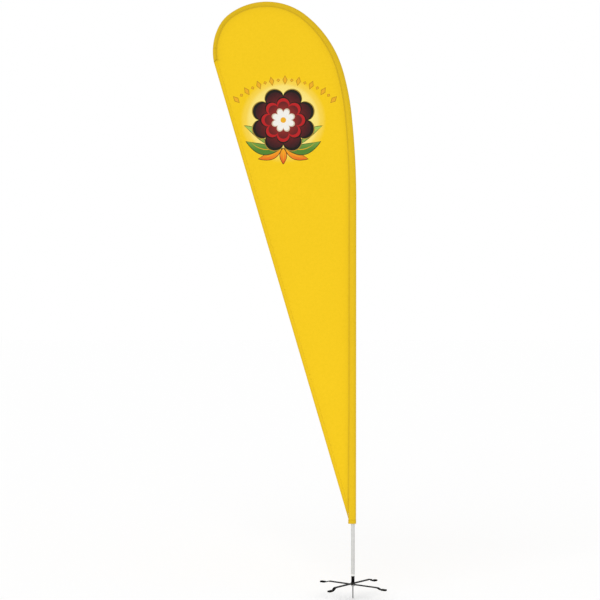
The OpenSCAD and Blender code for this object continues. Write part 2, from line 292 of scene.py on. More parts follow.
M = {}
M["cloth"] = cloth("flag_cloth", YELLOW, extra=halo)
M["hem"] = cloth("hem_cloth", YELLOW)
M["sleeve"] = cloth("sleeve_cloth", SLEEVE)
M["binding"] = cloth("binding_cloth", srgb(230, 189, 18))
M["rim"] = cloth("print_rim", srgb(26, 22, 14), sheen=0.05)
M["gold"] = cloth("print_gold", srgb(168, 140, 52), sheen=0.05)
M["maroon"] = cloth("print_maroon", srgb(90, 30, 28), extra=maroon, sheen=0.05)
M["red"] = cloth("print_red", srgb(190, 30, 32), sheen=0.05)
M["white"] = cloth("print_white", srgb(246, 243, 236), sheen=0.05)
M["cream"] = cloth("print_cream", srgb(214, 196, 168), sheen=0.05)
M["amber"] = cloth("print_amber", srgb(242, 178, 34), sheen=0.06)
M["amber_line"] = cloth("print_amber_line", srgb(190, 138, 20), sheen=0.06)
M["green"] = cloth("print_green", srgb(120, 170, 60), sheen=0.05, extra=shaded(srgb(84, 132, 46), srgb(164, 200, 92), 2.62, 2.74))
M["orange"] = cloth("print_orange", srgb(240, 110, 25), sheen=0.05, extra=shaded(srgb(224, 60, 26), srgb(250, 170, 30), 2.53, 2.62))


def stitch_mat():
    t = Tree("sewing_thread")
    n = t.noise(900.0, 2.0)
    base = t.mix(t.remap(n, 0.3, 0.7, 0, 1), srgb(238, 196, 24), srgb(224, 182, 20))
    return t.set(Base_Color=base, Roughness=0.6, Sheen_Weight=0.2, Normal=t.bump(n, 0.0001, 0.4))


M["thread"] = stitch_mat()


def powder_coat(name, colour, wear=0.05):
    """Satin black coating with fine orange peel, slightly worn where edges rub."""
    t = Tree(name)
    peel = t.noise(700.0, 2.0, 0.5)
    dust = t.noise(14.0, 5.0, 0.65)
    edge = t.node("ShaderNodeNewGeometry", "Pointiness")
    wear_and_painted_shade = t.math("MULTIPLY", t.remap(edge, 0.53, 0.6, 0.0, 1.0), t.remap(t.noise(90.0, 4.0), 0.45, 0.62, 0.0, 1.0))
    base = t.mix(t.remap(dust, 0.5, 0.8, 0.0, 0.3), colour, tuple(c * 1.8 + 0.003 for c in colour[:3]) + (1,))
    base = t.mix(t.math("MULTIPLY", wear_and_painted_shade, wear * 10), base, srgb(92, 92, 94))
    rough = t.remap(dust, 0.3, 0.7, 0.46, 0.6)
    return t.set(Base_Color=base, Roughness=rough, Normal=t.bump(peel, 0.00008, 0.5), Specular_IOR_Level=0.06)


def rubber(name, colour):
    t = Tree(name)
    grain = t.noise(1500.0, 3.0, 0.6)
    dust = t.noise(25.0, 4.0, 0.6)
    base = t.mix(t.remap(dust, 0.45, 0.75, 0.0, 0.5), colour, tuple(c * 2.5 + 0.006 for c in colour[:3]) + (1,))
    return t.set(Base_Color=base, Roughness=t.remap(dust, 0.3, 0.7, 0.66, 0.85), Normal=t.bump(grain, 0.0001, 0.6), Specular_IOR_Level=0.08)


def metal(name, colour, rough=0.34, stretch=(1, 1, 60), turned=False, metallic=1.0):
    """Drawn or turned metal: fine marks along or round the axis, and soft smudges."""
    t = Tree(name)
    v = t.stretched(*(stretch if not turned else (3, 3, 900)))
    marks = t.noise(9.0 if turned else 30.0, 4.0, 0.65, v)
    if not turned:
        marks = t.noise(1.0, 4.0, 0.6, t.stretched(2200, 2200, 9))
    smudge = t.noise(8.0, 4.0, 0.55)
    slow = t.noise(1.0, 2.0, 0.5, t.stretched(3, 3, 22))
    base = t.mix(t.remap(slow, 0.35, 0.62, 0.0, 1.0), colour, tuple(c * 0.86 for c in colour[:3]) + (1,))
    base = t.mix(t.remap(marks, 0.3, 0.7, 0.0, 0.5), base, tuple(c * 0.8 for c in colour[:3]) + (1,))
    base = t.mix(t.remap(smudge, 0.5, 0.75, 0.0, 0.35), base, tuple(c * 0.9 for c in colour[:3]) + (1,))
    r = t.math("ADD", t.remap(marks, 0.3, 0.7, rough - 0.06, rough + 0.08), t.remap(smudge, 0.4, 0.7, 0.0, 0.1))
    return t.set(Base_Color=base, Roughness=r, Metallic=metallic, Normal=t.bump(marks, 0.00003, 0.4))


def plastic(name, colour, rough=0.5):
    t = Tree(name)
    grain = t.noise(900.0, 3.0, 0.6)
    tint = t.noise(20.0, 3.0)
    base = t.mix(t.remap(tint, 0.35, 0.65, 0.0, 1.0), colour, tuple(c * 0.92 for c in colour[:3]) + (1,))
    return t.set(Base_Color=base, Roughness=t.remap(tint, 0.3, 0.7, rough - 0.05, rough + 0.07), Normal=t.bump(grain, 0.00005, 0.5))


def fibre(name):
    """Pultruded glass fibre rod: fine dark filaments along it under clear resin."""
    t = Tree(name)
    f = t.noise(1.0, 5.0, 0.7, t.stretched(1400, 1400, 30))
    base = t.mix(t.remap(f, 0.35, 0.65, 0.0, 1.0), srgb(34, 34, 36), srgb(58, 58, 60))
    return t.set(Base_Color=base, Roughness=0.32, Normal=t.bump(f, 0.00004, 0.4), Coat_Weight=0.2)


def webbing(name):
    t = Tree(name)
    xyz = t.separate()
    ribs = t.math("SINE", t.math("MULTIPLY", xyz[2], 2 * math.pi / 0.0014))
    cords = t.math("SINE", t.math("MULTIPLY", xyz[1], 2 * math.pi / 0.0009))
    h = t.math("MULTIPLY_ADD", t.math("MULTIPLY", ribs, cords), 0.5, 0.5)
    # painted shade and highlight: the webbing's colour is darker in the hollows and lighter on the crowns of its ribs,
    # following the height used for its bump
    base = t.mix(h, srgb(22, 22, 22), srgb(48, 48, 48))
    return t.set(Base_Color=base, Roughness=0.8, Sheen_Weight=0.3, Normal=t.bump(h, 0.0002, 0.8))


M["black"] = powder_coat("black_powder_coat", srgb(9, 8, 8))
M["rubber"] = rubber("black_rubber", srgb(12, 12, 11))
M["pole"] = metal("pole_satin_aluminium", srgb(220, 220, 217), 0.42, metallic=0.3)
M["alu"] = metal("turned_aluminium", srgb(200, 201, 203), 0.3, turned=True)
M["zinc"] = metal("zinc_plate", srgb(176, 176, 176), 0.36, turned=True, metallic=0.9)
M["steel"] = metal("bright_steel", srgb(128, 128, 130), 0.42, turned=True, metallic=0.8)
M["spring"] = metal("spring_steel", srgb(110, 108, 106), 0.38, turned=True)
M["bronze"] = metal("sintered_bronze", srgb(186, 140, 84), 0.5, turned=True)
M["nylon"] = plastic("white_nylon", srgb(240, 240, 236), 0.45)
M["plastic"] = plastic("black_plastic", srgb(22, 22, 22), 0.48)
M["fibre"] = fibre("glass_fibre")
M["webbing"] = webbing("elastic_webbing")

CARRIED = {
    "spindle_hub": "black", "spindle_nut": "zinc", "nut_washer": "zinc", "pivot_washer": "nylon", "disc_spring": "spring",
    "hub_bush_lower": "bronze", "hub_bush_spacer": "zinc", "hub_bush_upper": "bronze", "ground_spike": "steel",
    "rotor_shaft": "alu", "bearing_collar": "nylon", "journal_clip": "spring",
    "pole_base_tube": "pole", "section_spigot": "alu", "pole_middle_tube": "pole", "rod_reducer": "plastic",
    "pole_upper_rod": "fibre", "rod_ferrule": "zinc", "pole_tip_rod": "fibre", "tip_cap": "rubber",
    "hook_stud": "zinc", "tension_eyelet": "plastic", "tension_elastic": "webbing",
}
for node, key in CARRIED.items():
    for s in nodes[node].material_slots:
        s.link = "OBJECT"
        s.material = M[key]


# ------------------------------------------------------------------ mesh helpers
def make(name, verts, faces, mats, face_mats=None, smooth=True):
    me = bpy.data.meshes.new(name)
    me.from_pydata([tuple(v) for v in verts], [], [tuple(f) for f in faces])
    for m in mats:
        me.materials.append(M[m])
    if face_mats is not None:
        me.polygons.foreach_set("material_index", np.asarray(face_mats, np.int32))
    me.polygons.foreach_set("use_smooth", np.full(len(me.polygons), smooth))
    me.validate()
    me.update()
    ob = bpy.data.objects.new(name, me)
    scene.collection.objects.link(ob)
    return ob


def shade(ob, values):
    """Stores painted shade at each vertex: 1 in the open cloth and less in folds and along seams, where the colour is
    darkened to stand in for shade.
    """
    v = np.clip(np.asarray(values, float), 0, 1)
    at = ob.data.color_attributes.new("shade", "FLOAT_COLOR", "POINT")
    at.data.foreach_set("color", np.stack([v, v, v, np.ones(len(v))], 1).astype(np.float32).ravel())


def on_flag(ob):
    """x and z of an object's vertices, in mm."""
    co = np.empty(len(ob.data.vertices) * 3, np.float32)
    ob.data.vertices.foreach_get("co", co)
    return co.reshape(-1, 3)[:, [0, 2]].astype(float) * 1000


def flag_shade(p):
    """Painted shade: the panel's colour is darkened beside the seam and along the free edge."""
    ds = seam_distance(p)[0]
    de = np.maximum((p - edge_hi) @ edge_in, 0)
    return (1 - 0.125 * np.exp(-ds / 18.0) - 0.12 * np.exp(-((ds / 4.0) ** 2))) * (1 - 0.1 * np.exp(-de / 18.0) - 0.12 * np.exp(-((de / 3.5) ** 2)))


def tube_mesh(rings, closed=False):
    """Vertices and faces of rings joined in order; rings is (m, n, 3)."""
    rings = np.asarray(rings)
    m, n = rings.shape[:2]
    idx = np.arange(m * n).reshape(m, n)
    faces = []
    for i in range(m if closed else m - 1):
        a, b = idx[i], idx[(i + 1) % m]
        for j in range(n):
            k = (j + 1) % n
            faces.append((a[j], a[k], b[k], b[j]))
    return rings.reshape(-1, 3), faces


# ------------------------------------------------------------------ the flag's panel
seam_s = np.concatenate([np.linspace(EDGE_Z - TOP, 0, 150), np.linspace(0, TIP_S - TIP_LEAN * half_in(TIP_S), 170)[1:]])
seam_xz = np.stack(beside(seam_s, -half_in(seam_s)), 1)


def seam_distance(p):
    """Nearest distance to the seam, in mm, and the distance along it, for points (n, 2)."""
    a, b = seam_xz[:-1], seam_xz[1:]
    d = b - a
    dd = (d * d).sum(1)
    best, at = np.full(len(p), 1e9), np.zeros(len(p))
    for lo in range(0, len(p), 4000):
        q = p[lo : lo + 4000]
        t = np.clip(((q[:, None] - a) * d).sum(2) / dd, 0, 1)
        v = q[:, None] - (a + t[..., None] * d)
        r = np.sqrt((v * v).sum(2))
        k = r.argmin(1)
        i = np.arange(len(q))
        best[lo : lo + 4000] = r[i, k]
        at[lo : lo + 4000] = seam_s[k] + t[i, k] * (seam_s[k + 1] - seam_s[k])
    return best, at


_ph = rng.uniform(0, 2 * math.pi, 12)


def billow(p):
    """How far the cloth stands off its plane, in mm, towards the back. Zero on the seam, with soft
    tension folds along the free edge and short puckers beside the stitched seam."""
    x, z = p[:, 0], p[:, 1]
    ds, s = seam_distance(p)
    rel = p - edge_hi
    de = np.abs(rel @ edge_in)
    along = rel @ edge_dir
    ends = np.clip(np.minimum(along, EDGE_LEN - along) / 420.0, 0, 1)
    ends = ends * ends * (3 - 2 * ends)
    free = 1 - np.exp(-ds / 90.0)
    y = 3.2 * free * np.sin(2 * math.pi * (z - 500) / 2300.0 + x / 420.0 + 0.4)
    y += 1.0 * free * ends * np.sin(2 * math.pi * along / 540.0 + de / 85.0 + _ph[0])
    y += 0.9 * ends * np.exp(-de / 70.0) * np.sin(2 * math.pi * de / 62.0 + along / 260.0 + _ph[1]) * free
    pull = 0.55 + 0.45 * np.sin(s / 71.0 + _ph[2]) * np.sin(s / 173.0 + _ph[3])
    y += 0.42 * np.clip((de - HEM - 4) / 30.0, 0, 1) * pull * np.exp(-ds / 16.0) * (1 - np.exp(-ds / 3.0)) * np.sin(2 * math.pi * s / 21.0 + 1.3 * np.sin(s / 57.0))
    return y


def densify(loop, step):
    out = []
    for a, b in zip(loop, np.roll(loop, -1, 0)):
        k = max(1, int(round(np.linalg.norm(b - a) / step)))
        out += [a + (b - a) * i / k for i in range(k)]
    return np.array(out)


def circle(c, r, n):
    t = np.arange(n) * 2 * math.pi / n
    return np.stack([c[0] + r * np.cos(t), c[1] + r * np.sin(t)], 1)


def inside(p, loop):
    """Which of points p lie in a closed loop."""
    x, y = p[:, 0], p[:, 1]
    hit = np.zeros(len(p), bool)
    a, b = loop, np.roll(loop, -1, 0)
    for (x1, y1), (x2, y2) in zip(a, b):
        if y1 == y2:
            continue
        c = (y1 > y) != (y2 > y)
        hit ^= c & (x < (x2 - x1) * (y - y1) / (y2 - y1) + x1)
    return hit


def rosette(c, r, lobes, depth, turn=0.0, power=0.62, n=26):
    """A ring of rounded petals with sharp notches between them."""
    t = np.arange(lobes * n) * 2 * math.pi / (lobes * n)
    rr = r * (1 - depth + depth * np.abs(np.cos(lobes * (t - math.radians(turn)) / 2)) ** power)
    return np.stack([c[0] + rr * np.cos(t), c[1] + rr * np.sin(t)], 1)


def leaf(a, b, width, bow=0.0, grow=0.0, n=20):
    """A pointed leaf from a to b, its middle line bowed sideways."""
    a, b = np.array(a, float), np.array(b, float)
    d = (b - a) / np.linalg.norm(b - a)
    a, b = a - d * grow * 1.6, b + d * grow * 1.6
    side = np.array([-d[1], d[0]])
    t = np.linspace(0, 1, n)
    mid = a + (b - a) * t[:, None] + side * (bow * 4 * t * (1 - t))[:, None]
    w = (width / 2 + grow) * np.sin(math.pi * t) ** 0.85 * (1.12 - 0.3 * t)
    up = mid + side * w[:, None]
    dn = (mid - side * w[:, None])[1:-1][::-1]
    return np.concatenate([up[:1] * 0 + mid[:1], up[1:-1], mid[-1:], dn])


# Printed shapes, from the bottom layer up: (material, outline, point spacing)
shapes = []
CX, CZ = DISC
leaves = [
    ("orange", (CX - 10, CZ - 168), (CX - 148, CZ - 232), 46, 14),
    ("orange", (CX + 10, CZ - 168), (CX + 148, CZ - 232), 46, -14),
    ("orange", (CX, CZ - 170), (CX, CZ - 262), 40, 0),
    ("green", (CX - 20, CZ - 172), (CX - 222, CZ - 128), 62, 26),
    ("green", (CX + 20, CZ - 172), (CX + 222, CZ - 128), 62, -26),
    ("green", (CX - 110, CZ - 140), (CX - 232, CZ - 36), 38, -16),
    ("green", (CX + 110, CZ - 140), (CX + 232, CZ - 36), 38, 16),
]
for m, p0, p1, w, bow in leaves:
    shapes.append(("rim", leaf(p0, p1, w, bow, 3.4), 0))
    shapes.append((m, leaf(p0, p1, w, bow), 0))
    d = np.array(p1) - np.array(p0)
    shapes.append(("amber", leaf(np.array(p0) + d * 0.12, np.array(p1) - d * 0.14, 4.5, bow * 0.93), 0))
shapes.append(("gold", rosette(DISC, 199, 8, 0.24, 22.5), 0))
shapes.append(("rim", rosette(DISC, 193, 8, 0.24, 22.5), 0))
shapes.append(("maroon", rosette(DISC, 176, 8, 0.24, 22.5), 0))
shapes.append(("rim", rosette(DISC, 139, 8, 0.26, 0.0), 0))
shapes.append(("red", rosette(DISC, 131, 8, 0.26, 0.0), 0))
shapes.append(("maroon", rosette(DISC, 112, 8, 0.26, 0.0, n=22), 0))
shapes.append(("cream", rosette(DISC, 74, 8, 0.34, 22.5, n=20), 0))
shapes.append(("white", rosette(DISC, 66, 8, 0.36, 22.5, n=20), 0))
shapes.append(("amber", circle(DISC, 17, 28), 0))
# Arc of plain lozenges over the rosette
ARC_C, ARC_R = px(285, 150), 420.0
for k in range(17):
    a = math.radians(90 - 44.0 + 5.5 * k)
    c = np.array([ARC_C[0] + ARC_R * math.cos(a), ARC_C[1] + ARC_R * math.sin(a)])
    r, t = np.array([math.cos(a), math.sin(a)]), np.array([-math.sin(a), math.cos(a)])
    big = k % 2 == 0
    h, w = (29, 15.5) if big else (11, 11)
    for m, g in (("amber_line", 0.0), ("amber", 4.6 if big else 3.2)):
        shapes.append((m, np.array([c + r * (h - g * 1.5), c + t * (w - g), c - r * (h - g * 1.5), c - t * (w - g)]), 0))


def build_panel():
    """The panel and its print, cut along every printed outline so that each colour has its own faces."""
    # where the hem's inner line meets the seam low down, and the tip's cut at the top
    rel = (seam_xz - edge_hi) @ edge_in
    low = np.where(rel[:150] >= HEM)[0][0]
    cut = seam_xz[low - 1] + (seam_xz[low] - seam_xz[low - 1]) * (HEM - rel[low - 1]) / (rel[low] - rel[low - 1])
    top = len(seam_xz) - 1
    end = edge_hi + (seam_end - edge_hi) * HEM / rel[top]
    outline = np.concatenate([[cut], seam_xz[low:], [end]])
    loop = densify(outline, 11.0)
    cell = 12.0
    xs = np.arange(-860, 20, cell)
    zs = np.arange(400, 3520, cell * 0.866)
    g = np.array([(x + (cell / 2 if j % 2 else 0), z) for j, z in enumerate(zs) for x in xs])
    g = g[inside(g, loop)]
    ds = seam_distance(g)[0]
    de = (g - edge_hi) @ edge_in - HEM
    g = g[(ds > 6) & (de > 6)]
    # finer rows beside the seam, where the cloth puckers
    rows = []
    for off in (2.5, 5.5, 9.5, 14.5):
        s = np.arange(seam_s[low] + 12, seam_s[top] - 6, 5.0)
        rows.append(np.stack(beside(s, -half_in(s) - off), 1))
    r = np.concatenate(rows)
    r = r[inside(r, loop)]
    r = r[((r - edge_hi) @ edge_in - HEM) > 5]
    g = g[seam_distance(g)[0] > 19]
    pts, edges, loops = [], [], []

    def add(l):
        i0 = len(pts)
        pts.extend(Vector((float(p[0]), float(p[1]))) for p in l)
        edges.extend((i0 + i, i0 + (i + 1) % len(l)) for i in range(len(l)))

    add(loop)
    for m, l, step in shapes:
        l = densify(l, step) if step else l
        loops.append((m, l))
        add(l)
    keep = np.ones(len(g), bool)
    edge_pts = np.concatenate([l for _, l in loops])
    for lo in range(0, len(g), 2000):
        d = np.sqrt(((g[lo : lo + 2000, None] - edge_pts) ** 2).sum(2)).min(1)
        keep[lo : lo + 2000] = d > 3.5
    pts.extend(Vector((float(p[0]), float(p[1]))) for p in np.concatenate([g[keep], r]))
    vs, _, fs, *_ = delaunay_2d_cdt(pts, edges, [], 0, 1e-4)
    v = np.array([(a.x, a.y) for a in vs])
    f = np.array([t for t in fs if len(t) == 3])
    c = v[f].mean(1)
    ok = inside(c, loop)
    f, c = f[ok], c[ok]
    mats = ["cloth"]
    fm = np.zeros(len(f), int)
    for m, l in loops:
        if m not in mats:
            mats.append(m)
        lo, hi = l.min(0), l.max(0)
        near = np.where(((c >= lo) & (c <= hi)).all(1))[0]
        fm[near[inside(c[near], l)]] = mats.index(m)
    used = np.unique(f)
    remap = np.full(len(v), -1)
    remap[used] = np.arange(len(used))
    return v[used], remap[f], fm, mats, loop


def two_sided(v, f, y, half, name, mats, fm):
    """A closed thin sheet: front and back skins half apart from y, with a wall round the border."""
    area = np.cross(v[f[:, 1]] - v[f[:, 0]], v[f[:, 2]] - v[f[:, 0]])
    f = np.where((area > 0)[:, None], f, f[:, ::-1])
    n = len(v)
    front = np.stack([v[:, 0], y - half, v[:, 1]], 1)
    back = np.stack([v[:, 0], y + half, v[:, 1]], 1)
    count = {}
    for a, b, c in f:
        for e in ((a, b), (b, c), (c, a)):
            count[e] = 1
    border = [(a, b) for a, b in count if (b, a) not in count]
    faces = [tuple(t) for t in f] + [tuple(n + k for k in t[::-1]) for t in f]
    faces += [(b, a, n + a, n + b) for a, b in border]
    fm = list(fm) * 2 + [0] * len(border)
    return make(name, np.concatenate([front, back]) / 1000, faces, mats, fm)


v, f, fm, mats, panel_loop = build_panel()
panel = two_sided(v, f, billow(v), 0.28, "flag_panel_cloth", mats, fm)
shade(panel, flag_shade(on_flag(panel)))


# ------------------------------------------------------------------ hem along the free edge
def build_hem():
    """A folded hem: its edge is round, its inner side drops to the panel, and it follows the panel's billow."""
    rows = np.arange(0, EDGE_LEN + 1, 6.0)
    rows[-1] = EDGE_LEN
    # across the hem, from the back's inner side round the free edge to the front's inner side
    w = HEM + 1.2
    prof = [(w, 0.3), (w - 0.6, 0.5), (w - 2.4, 0.56), (w - 5.6, 0.74), (9.0, 0.8), (2.0, 0.78), (0.7, 0.66), (0.15, 0.36)]
    prof = prof + [(0.0, 0.0)] + [(a, -b) for a, b in prof[::-1]]
    rings = []
    for d in rows:
        # the hem narrows where the seam takes its lower corner, and leans to the tip's cut at the top
        c = min(1.0, max(0.02, (EDGE_LEN - d) * 0.29 / w))
        lean = max(0.0, 1 - d / 60.0) * float((seam_end - edge_hi) @ edge_dir) / float((seam_end - edge_hi) @ edge_in)
        p0 = edge_hi + edge_dir * d
        e = np.array([p0 + edge_in * a * c + edge_dir * a * lean for a, _ in prof])
        y = billow(e)
        rings.append([(q[0], yy + b, q[1]) for q, yy, (_, b) in zip(e, y, prof)])
    return np.array(rings)


def build_hem_strip():
    rings = build_hem()
    m, n = rings.shape[:2]
    verts, faces = tube_mesh(rings)
    faces.append(tuple(range(n))[::-1])
    faces.append(tuple((m - 1) * n + j for j in range(n)))
    return make("free_edge_hem_cloth", verts / 1000, [tuple(reversed(q)) for q in faces], ["hem"])


hem = build_hem_strip()
shade(hem, flag_shade(on_flag(hem)))


# ------------------------------------------------------------------ pole sleeve
def bulge(s):
    """Radius of what fills the sleeve at s: the pole, the reducer's lip, the upper rod, its ferrule, the tip rod."""
    s = np.asarray(s, float)
    return np.interp(s, [-120, -74, -50, 40, 925, 948, 1002, 1030, BEND - 40, BEND - 24, BEND - 9, BEND + 4], [12.3, 12.3, 11.6, 9.3, 9.2, 9.75, 9.75, 6.6, 6.0, 6.6, 6.5, 3.4])


def sleeve_section(s, n=22):
    """Half outline of the sleeve at s: u from the outer fold to the seam, and how deep the cloth stands there."""
    a, b, r = float(half_out(s)), float(half_in(s)), float(bulge(s))
    t = np.linspace(0, math.pi, n)
    u = np.where(np.cos(t) > 0, a, b) * np.cos(t)
    edge = 0.75

    def side(x, reach):
        reach = max(reach, r * 1.02)
        tan = math.asin(min(0.999, (r - edge) / reach))
        touch = r * math.sin(tan)
        line = edge + (reach - x) * math.tan(tan)
        arc = np.sqrt(np.maximum(0, r * r - np.minimum(x, r) ** 2))
        return np.where(x > touch, np.minimum(line, np.sqrt(r * r - touch**2) + (touch - x) * math.tan(tan) * 1.0), arc)

    h = np.where(u >= 0, side(np.abs(u), a), side(np.abs(u), b))
    # the mouth stands open, round the elastic that draws the cloth down
    full = float(np.interp(s, [EDGE_Z - TOP + 84, EDGE_Z - TOP + 170], [1, 0]))
    if full > 0:
        q = np.abs(u) / np.where(u >= 0, a, b)
        h = h * (1 - full) + full * np.maximum(h, 12.9 * np.sqrt(np.clip(1 - q**2.6, 0, 1)))
    # soften the break between the round pole and the taut sides, and round the fold
    for _ in range(2):
        h[1:-1] = 0.25 * h[:-2] + 0.5 * h[1:-1] + 0.25 * h[2:]
    h[0] = 0.0
    h[-1] = 0.0
    h[1] = min(h[1], h[2] * 0.72)
    return u, h


def build_sleeve(name, s0, s1, mat, closed_end=False, wall=0.7, proud=0.0, step=9.0):
    n = 22
    ss = np.arange(s0, s1, step)
    ss = np.append(ss[ss < s1 - step * 0.4], s1)
    outer, inner = [], []
    for s in ss:
        u, h = sleeve_section(s, n)
        # small creases: the cloth gathers on the seam side of the bend
        lean = TIP_LEAN * max(0.0, (s - (BEND - 26)) / (s1 - (BEND - 26))) if closed_end and s > BEND - 26 else 0.0
        full_u = np.concatenate([u, u[1:-1][::-1]])
        sign = np.concatenate([-np.ones(n), np.ones(n - 2)])
        full_h = np.concatenate([h, h[1:-1][::-1]])
        bend = float(np.interp(s, [-300, 0, 500, 760, 1200, BEND], [0.12, 0.3, 0.5, 0.9, 1.0, 0.8]))
        inn = np.clip(-full_u / half_in(s), 0, 1)
        crease = bend * inn * (1 - inn * 0.75) * (
            0.55 * np.sin(2 * math.pi * s / 33.0 + 1.7 * math.sin(s / 88.0) + 0.9 * sign)
            + 0.3 * np.sin(2 * math.pi * s / 19.0 + sign * 2.1)
        )
        loose = 0.35 * np.sin(2 * math.pi * s / 240.0 + sign) * np.clip(np.abs(full_u) / 20.0, 0, 1)
        hh = full_h + (crease + loose) * np.clip((full_h - 1.0) / 3.0, 0, 1) + proud * (full_h > 0.1)
        uu = full_u * (1 + proud / 25.0)
        x, z = beside(np.full(len(uu), s) + lean * uu, uu)
        outer.append(np.stack([x, sign * hh, z], 1))
        ui = uu - np.sign(uu) * np.minimum(wall, np.abs(uu)) * np.clip((np.abs(uu) / 6.0), 0, 1)
        hi = np.maximum(hh - wall, 0.05) * (full_h > 0)
        hi = np.where(full_h <= 0, 0.0, hi)
        x, z = beside(np.full(len(uu), s) + lean * ui, ui)
        inner.append(np.stack([x, sign * hi, z], 1))
    outer, inner = np.array(outer), np.array(inner)
    if closed_end:
        k = len(inner)
        while ss[k - 1] > s1 - 5:
            k -= 1
        rings = np.concatenate([inner[:k][::-1], outer])
        verts, faces = tube_mesh(rings)
        m, q = rings.shape[:2]
        faces.append(tuple(range(q))[::-1])
        faces.append(tuple((m - 1) * q + j for j in range(q)))
    else:
        rings = np.concatenate([outer, inner[::-1]])
        verts, faces = tube_mesh(rings, closed=True)
    ob = make(name, verts / 1000, faces, [mat])
    n_in = len(rings.reshape(-1, 3))
    # painted shade: the sleeve's colour is darkened at its outer fold, beside the seam and at the pocket's closed tip,
    # and painted darker towards the top and round the bend
    painted_shade_values = []
    for r in (list(ss[:k][::-1]) + list(ss) if closed_end else list(ss) + list(ss[::-1])):
        u, _ = sleeve_section(r, n)
        u = np.concatenate([u, u[1:-1][::-1]])
        out, inn = np.clip(u / half_out(r), 0, 1), np.clip(-u / half_in(r), 0, 1)
        top = float(np.interp(r, [-400, 300, 1000, BEND], [1.0, 0.97, 0.9, 0.9]))
        tip = 1 - 0.22 * max(0.0, 1 - (s1 - r) / 7.0) if closed_end else 1.0
        painted_shade_values.append(top * tip * (1 - 0.22 * out**6) * (1 - 0.16 * inn**10))
    assert len(painted_shade_values) * (2 * n - 2) == n_in
    shade(ob, np.concatenate(painted_shade_values))
    bm = bmesh.new()
    bm.from_mesh(ob.data)
    bmesh.ops.remove_doubles(bm, verts=bm.verts, dist=1e-6)
    bmesh.ops.recalc_face_normals(bm, faces=bm.faces)
    bm.to_mesh(ob.data)
    bm.free()
    ob.data.update()
    return ob


POCKET = BEND - 2.5 * BEND / 70
sleeve = build_sleeve("pole_sleeve_cloth", MOUTH_S + 20, POCKET, "sleeve")
binding = build_sleeve("mouth_binding_cloth", MOUTH_S, MOUTH_S + 21.5, "binding", proud=0.45, step=3.5)
pocket = build_sleeve("tip_pocket_cloth", POCKET - 2.0, TIP_S, "sleeve", closed_end=True, proud=0.3, step=4.0)


# ------------------------------------------------------------------ seam tape
def tape_width(s):
    return np.interp(s, [0, BEND], [6.6, 4.6])


def build_tape():
    """The sleeve's turned edge, laid flat on both faces of the panel and sewn down with two rows."""
    ss = np.append(np.arange(EDGE_Z - TOP + 34, POCKET + 52, 7.0), POCKET + 56)
    verts, faces, painted_shade_values = [], [], []
    for face in (-1, 1):
        rings = []
        for s in ss:
            w, b = float(tape_width(s)), float(half_in(s))
            prof = [(-1.2, 0.34), (-1.2, 0.9), (0.6, 0.92), (w - 0.5, 0.8), (w, 0.62), (w, 0.34)]
            u = np.array([-(b + a) for a, _ in prof])
            x, z = beside(np.full(len(u), s), u)
            y = billow(np.stack([x, z], 1)) + face * (np.array([h for _, h in prof]) - 0.12)
            rings.append(np.stack([x, y, z], 1))
            # painted shade: the tape's colour is darkest where it tucks under the sleeve's edge, darker along its outer
            # edge, and darker towards the top
            top = float(np.interp(s, [-400, 300, 1000, BEND], [0.97, 0.94, 0.9, 0.9]))
            painted_shade_values.append(top * np.array([0.72, 0.72, 0.86, 0.93, 0.9, 0.85]))
        rings = np.array(rings)
        v, f = tube_mesh(rings)
        n = rings.shape[1]
        f.append(tuple(range(n)))
        f.append(tuple((len(rings) - 1) * n + j for j in range(n))[::-1])
        faces += [tuple(k + len(verts) for k in q) for q in f]
        verts += list(v)
    ob = make("sleeve_seam_edge", np.array(verts) / 1000, faces, ["sleeve"])
    shade(ob, np.concatenate(painted_shade_values))
    return ob


tape = build_tape()


# ------------------------------------------------------------------ stitches
def stitches(path, normal, side, length, radius):
    """Small closed lens-shaped stitches along path (m, 3) in mm; normal points off the cloth, side lies across the row."""
    verts, faces = [], []
    for p, q, nn, ss in zip(path[:-1:1], path[1:], normal, side):
        c = (p + q) / 2
        t = q - p
        t = t / np.linalg.norm(t)
        i = len(verts)
        verts += [c - t * length / 2, c + t * length / 2, c + ss * radius, c - ss * radius, c + nn * radius * 0.9, c - nn * radius * 0.4]
        faces += [(i, i + 2, i + 4), (i, i + 4, i + 3), (i, i + 3, i + 5), (i, i + 5, i + 2), (i + 1, i + 4, i + 2), (i + 1, i + 3, i + 4), (i + 1, i + 5, i + 3), (i + 1, i + 2, i + 5)]
    return verts, faces


def seam_rows():
    verts, faces = [], []
    pitch = 4.6
    for row in (0.24, 0.76):
        s = np.arange(EDGE_Z - TOP + 38, POCKET + 50, pitch)
        u = -half_in(s) - tape_width(s) * row
        x, z = beside(s, u)
        for face in (-1, 1):
            y = billow(np.stack([x, z], 1)) + face * (0.81 if row < 0.5 else 0.76)
            path = np.stack([x, y, z], 1)
            _, _, h = line_at(s)
            side = np.stack([np.sin(h), np.zeros(len(h)), -np.cos(h)], 1)
            nrm = np.tile([0.0, float(face), 0.0], (len(s), 1))
            v, f = stitches(path, nrm, side, pitch * 0.72, 0.42)
            faces += [tuple(k + len(verts) for k in q) for q in f]
            verts += v
    return verts, faces


